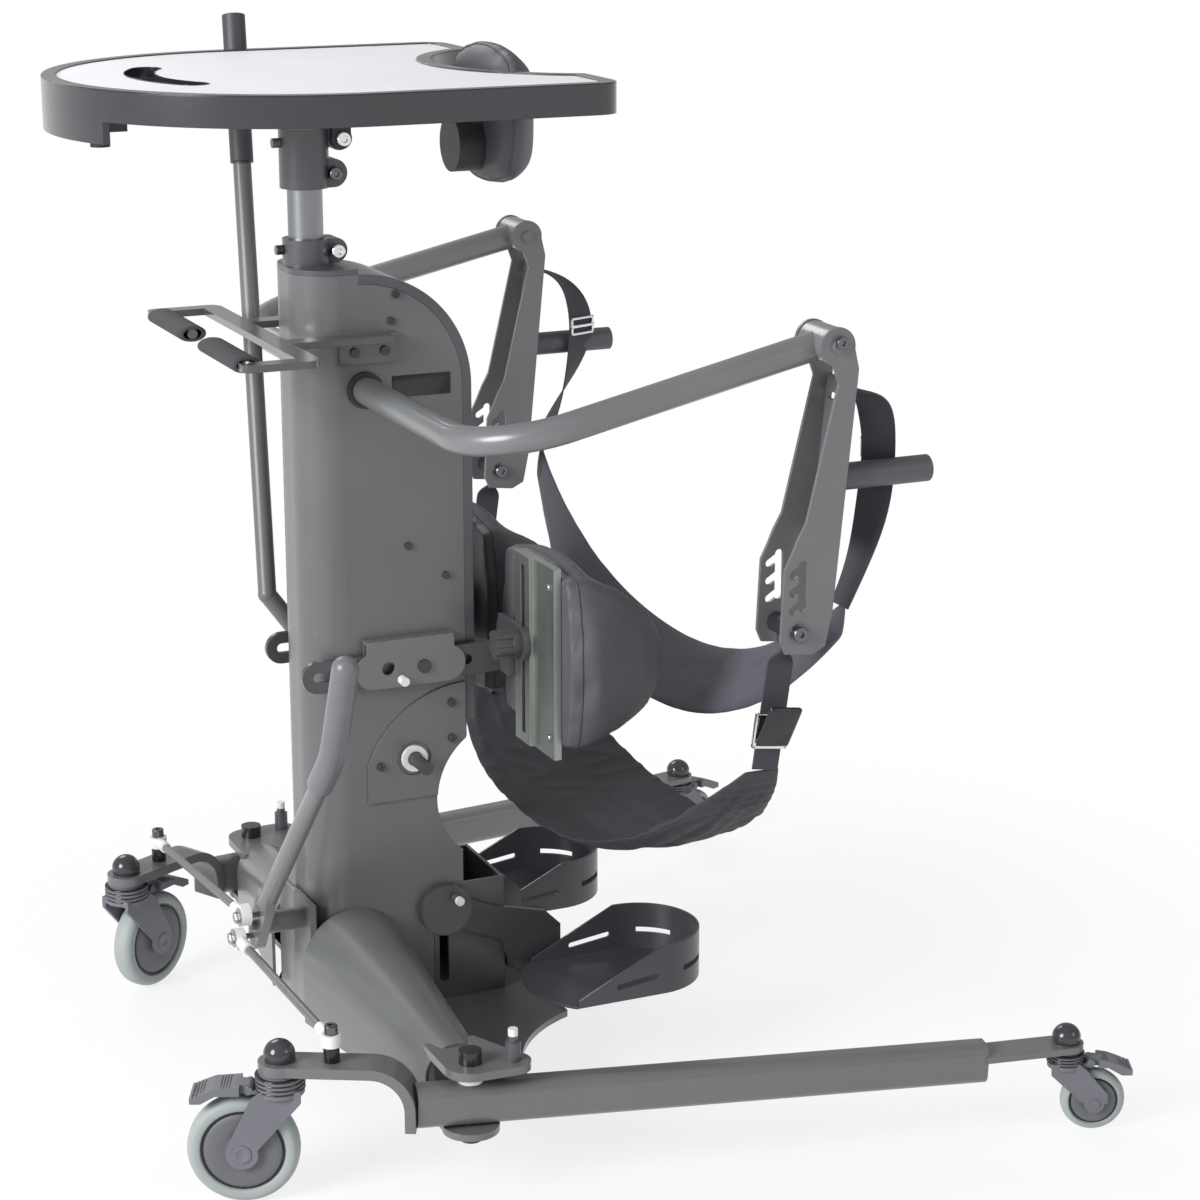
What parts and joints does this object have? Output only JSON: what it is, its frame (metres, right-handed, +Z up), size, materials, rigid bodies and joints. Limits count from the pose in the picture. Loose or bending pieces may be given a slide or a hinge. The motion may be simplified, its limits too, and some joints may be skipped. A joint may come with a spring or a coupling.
{
  "type": "standing frame",
  "caption": "Standing frame on casters: spreading legs, mast with jack lift, strap sling on bent arms, knee pads, foot trays and a tilting activity tray.",
  "frame": {"origin": "on the floor under the middle of the overall box", "axes": "+Z up, +X towards the open leg ends where the user stands, +Y to the right as seen from the user facing -X"},
  "size_m": [1.0852, 1.1232, 1.2435],
  "materials": {
    "frame_paint": "satin charcoal paint",
    "arm_paint": "satin charcoal paint, a little lighter",
    "black_plastic": "satin black",
    "grip_foam": "matt black foam",
    "black_metal": "satin black paint",
    "steel": "bright zinc",
    "white_plastic": "satin white",
    "fork_plastic": "satin dark grey",
    "wheel_rubber": "grey tread on a dark grey hub",
    "webbing": "woven black webbing",
    "sling_fabric": "padded black nylon",
    "pad_vinyl": "dark grey moulded foam skin",
    "aluminium": "satin anodised",
    "laminate": "pale laminate"
  },
  "bodies": {
    "frame": {"base_frame": "frame_paint", "base_fairings": "frame_paint", "mast_shell": "frame_paint", "mast_back_cover": "black_plastic", "mast_top_cap": "black_plastic", "service_panels": "frame_paint", "frame_screws": "steel", "jack_body": "black_metal", "shaft_bushes": "white_plastic", "push_handle": "frame_paint", "push_grips": "grip_foam", "knee_bar_brackets": "frame_paint", "foot_post": "black_metal"},
    "left_leg": {"left_leg": "frame_paint"},
    "right_leg": {"right_leg": "frame_paint"},
    "spread_lever": {"spread_lever": "arm_paint", "spread_grip": "grip_foam"},
    "left_tie_rod": {"left_tie_rod": "steel"},
    "right_tie_rod": {"right_tie_rod": "steel"},
    "lift": {"lift_shaft": "steel", "lift_arms": "arm_paint"},
    "yokes": {"left_yoke": "arm_paint", "right_yoke": "arm_paint", "strap_hardware": "steel", "sling_straps": "webbing", "sling_seat": "sling_fabric", "sling_back": "sling_fabric"},
    "jack_ram": {"jack_ram": "steel"},
    "tray_post": {"tray_column": "aluminium", "tray_head": "black_plastic"},
    "tray": {"tray_rim": "black_plastic", "tray_panel": "laminate", "tray_mount": "black_plastic", "chest_pad": "pad_vinyl"},
    "left_knee_bar": {"left_knee_bar": "black_metal"},
    "right_knee_bar": {"right_knee_bar": "black_metal"},
    "left_knee_pad": {"left_knee_rail": "aluminium", "left_knee_pad": "pad_vinyl"},
    "right_knee_pad": {"right_knee_rail": "aluminium", "right_knee_pad": "pad_vinyl"},
    "foot_support": {"foot_carriage": "black_metal", "foot_trays": "black_plastic"},
    "pump_lever": {"pump_lever": "arm_paint"},
    "left_leg_pin": {"left_leg_pin": "white_plastic"},
    "right_leg_pin": {"right_leg_pin": "white_plastic"},
    "left_knee_pin": {"left_knee_pin": "white_plastic"},
    "right_knee_pin": {"right_knee_pin": "white_plastic"},
    "foot_pin": {"foot_pin": "white_plastic"},
    "front_left_fork": {"front_left_fork": "fork_plastic"},
    "front_left_wheel": {"front_left_wheel": "wheel_rubber"},
    "front_left_pedal": {"front_left_pedal": "black_plastic"},
    "front_right_fork": {"front_right_fork": "fork_plastic"},
    "front_right_wheel": {"front_right_wheel": "wheel_rubber"},
    "front_right_pedal": {"front_right_pedal": "black_plastic"},
    "rear_left_fork": {"rear_left_fork": "fork_plastic"},
    "rear_left_wheel": {"rear_left_wheel": "wheel_rubber"},
    "rear_left_pedal": {"rear_left_pedal": "black_plastic"},
    "rear_right_fork": {"rear_right_fork": "fork_plastic"},
    "rear_right_wheel": {"rear_right_wheel": "wheel_rubber"},
    "rear_right_pedal": {"rear_right_pedal": "black_plastic"}
  },
  "joints": [
    {"name": "left_leg_spread", "type": "hinge", "parent": "frame", "child": "left_leg", "pos_m": [-0.22462, -0.3915, 0.116], "axis": [0, 0, 1], "range_deg": [0, 10.2]},
    {"name": "right_leg_spread", "type": "hinge", "parent": "frame", "child": "right_leg", "pos_m": [-0.22462, 0.3915, 0.116], "axis": [0, 0, 1], "range_deg": [-10.4, 0]},
    {"name": "spread_lever_turn", "type": "hinge", "parent": "frame", "child": "spread_lever", "pos_m": [-0.34662, -0.03, 0.21], "axis": [1, 0, 0], "range_deg": [-74, 0]},
    {"name": "left_tie_rod_turn", "type": "hinge", "parent": "left_leg", "child": "left_tie_rod", "pos_m": [-0.36617, -0.33808, 0.1916], "axis": [0, 0, 1], "range_deg": [-12.5, 0]},
    {"name": "right_tie_rod_turn", "type": "hinge", "parent": "right_leg", "child": "right_tie_rod", "pos_m": [-0.36617, 0.33808, 0.1916], "axis": [0, 0, 1], "range_deg": [0, 12.5]},
    {"name": "front_left_swivel", "type": "hinge", "parent": "left_leg", "child": "front_left_fork", "pos_m": [-0.41719, -0.31125, 0.137], "axis": [0, 0, 1], "continuous": true},
    {"name": "front_left_roll", "type": "hinge", "parent": "front_left_fork", "child": "front_left_wheel", "pos_m": [-0.45556, -0.29416, 0.0625], "axis": [-0.4067, -0.9135, 0], "continuous": true},
    {"name": "front_left_brake", "type": "hinge", "parent": "front_left_fork", "child": "front_left_pedal", "pos_m": [-0.44825, -0.29742, 0.135], "axis": [-0.4067, -0.9135, 0], "range_deg": [0, 8]},
    {"name": "front_right_swivel", "type": "hinge", "parent": "right_leg", "child": "front_right_fork", "pos_m": [-0.41719, 0.31125, 0.137], "axis": [0, 0, 1], "continuous": true},
    {"name": "front_right_roll", "type": "hinge", "parent": "front_right_fork", "child": "front_right_wheel", "pos_m": [-0.38237, 0.33473, 0.0625], "axis": [-0.5592, 0.829, 0], "continuous": true},
    {"name": "front_right_brake", "type": "hinge", "parent": "front_right_fork", "child": "front_right_pedal", "pos_m": [-0.389, 0.33026, 0.135], "axis": [-0.5592, 0.829, 0], "range_deg": [0, 8]},
    {"name": "rear_left_swivel", "type": "hinge", "parent": "left_leg", "child": "rear_left_fork", "pos_m": [0.46709, -0.51696, 0.087], "axis": [0, 0, 1], "continuous": true},
    {"name": "rear_left_roll", "type": "hinge", "parent": "rear_left_fork", "child": "rear_left_wheel", "pos_m": [0.49724, -0.53038, 0.0375], "axis": [0.4067, 0.9135, 0], "continuous": true},
    {"name": "rear_left_brake", "type": "hinge", "parent": "rear_left_fork", "child": "rear_left_pedal", "pos_m": [0.49267, -0.52834, 0.085], "axis": [0.4067, 0.9135, 0], "range_deg": [0, 8]},
    {"name": "rear_right_swivel", "type": "hinge", "parent": "right_leg", "child": "rear_right_fork", "pos_m": [0.46709, 0.51696, 0.087], "axis": [0, 0, 1], "continuous": true},
    {"name": "rear_right_roll", "type": "hinge", "parent": "rear_right_fork", "child": "rear_right_wheel", "pos_m": [0.49724, 0.53038, 0.0375], "axis": [-0.4067, 0.9135, 0], "continuous": true},
    {"name": "rear_right_brake", "type": "hinge", "parent": "rear_right_fork", "child": "rear_right_pedal", "pos_m": [0.49267, 0.52834, 0.085], "axis": [-0.4067, 0.9135, 0], "range_deg": [0, 8]},
    {"name": "lift_turn", "type": "hinge", "parent": "frame", "child": "lift", "pos_m": [-0.21162, 0, 0.848], "axis": [0, 1, 0], "range_deg": [-10, 9]},
    {"name": "yoke_turn", "type": "hinge", "parent": "lift", "child": "yokes", "pos_m": [0.18085, 0, 0.93501], "axis": [0, 1, 0], "range_deg": [-9.2, 10.2]},
    {"name": "jack_stroke", "type": "slide", "parent": "frame", "child": "jack_ram", "axis": [0, 0, 1], "range_m": [-0.0075, 0.0082]},
    {"name": "tray_height", "type": "slide", "parent": "frame", "child": "tray_post", "axis": [0, 0, 1], "range_m": [-0.05, 0.07]},
    {"name": "tray_tilt", "type": "hinge", "parent": "tray_post", "child": "tray", "pos_m": [-0.21862, 0, 1.128], "axis": [0, 1, 0], "range_deg": [-8, 14]},
    {"name": "pump_turn", "type": "hinge", "parent": "frame", "child": "pump_lever", "pos_m": [-0.16062, 0, 0.401], "axis": [0, 1, 0], "range_deg": [-25, 0]},
    {"name": "left_knee_depth", "type": "slide", "parent": "frame", "child": "left_knee_bar", "axis": [1, 0, 0], "range_m": [-0.005, 0.04]},
    {"name": "left_knee_height", "type": "slide", "parent": "left_knee_bar", "child": "left_knee_pad", "axis": [0, 0, 1], "range_m": [-0.02, 0.06]},
    {"name": "right_knee_depth", "type": "slide", "parent": "frame", "child": "right_knee_bar", "axis": [1, 0, 0], "range_m": [-0.005, 0.04]},
    {"name": "right_knee_height", "type": "slide", "parent": "right_knee_bar", "child": "right_knee_pad", "axis": [0, 0, 1], "range_m": [-0.02, 0.06]},
    {"name": "foot_height", "type": "slide", "parent": "frame", "child": "foot_support", "axis": [0, 0, 1], "range_m": [-0.024, 0.016]},
    {"name": "left_leg_pin_pull", "type": "slide", "parent": "frame", "child": "left_leg_pin", "axis": [0, 0, 1], "range_m": [0, 0.01], "stiffness_N_per_m": 400},
    {"name": "right_leg_pin_pull", "type": "slide", "parent": "frame", "child": "right_leg_pin", "axis": [0, 0, 1], "range_m": [0, 0.01], "stiffness_N_per_m": 400},
    {"name": "left_knee_pin_pull", "type": "slide", "parent": "frame", "child": "left_knee_pin", "axis": [0, -1, 0], "range_m": [0, 0.008], "stiffness_N_per_m": 400},
    {"name": "right_knee_pin_pull", "type": "slide", "parent": "frame", "child": "right_knee_pin", "axis": [0, 1, 0], "range_m": [0, 0.008], "stiffness_N_per_m": 400},
    {"name": "foot_pin_pull", "type": "slide", "parent": "foot_support", "child": "foot_pin", "axis": [0, -1, 0], "range_m": [0, 0.008], "stiffness_N_per_m": 400}
  ],
  "couplings": [
    {"joint": "right_leg_spread", "follows": "left_leg_spread", "ratio": -1},
    {"joint": "spread_lever_turn", "follows": "left_leg_spread", "ratio": -7.07},
    {"joint": "left_tie_rod_turn", "follows": "left_leg_spread", "ratio": -1.126},
    {"joint": "right_tie_rod_turn", "follows": "left_leg_spread", "ratio": 1.106},
    {"joint": "yoke_turn", "follows": "lift_turn", "ratio": -1},
    {"joint": "jack_stroke", "follows": "lift_turn", "m_per_rad": -0.045}
  ]
}
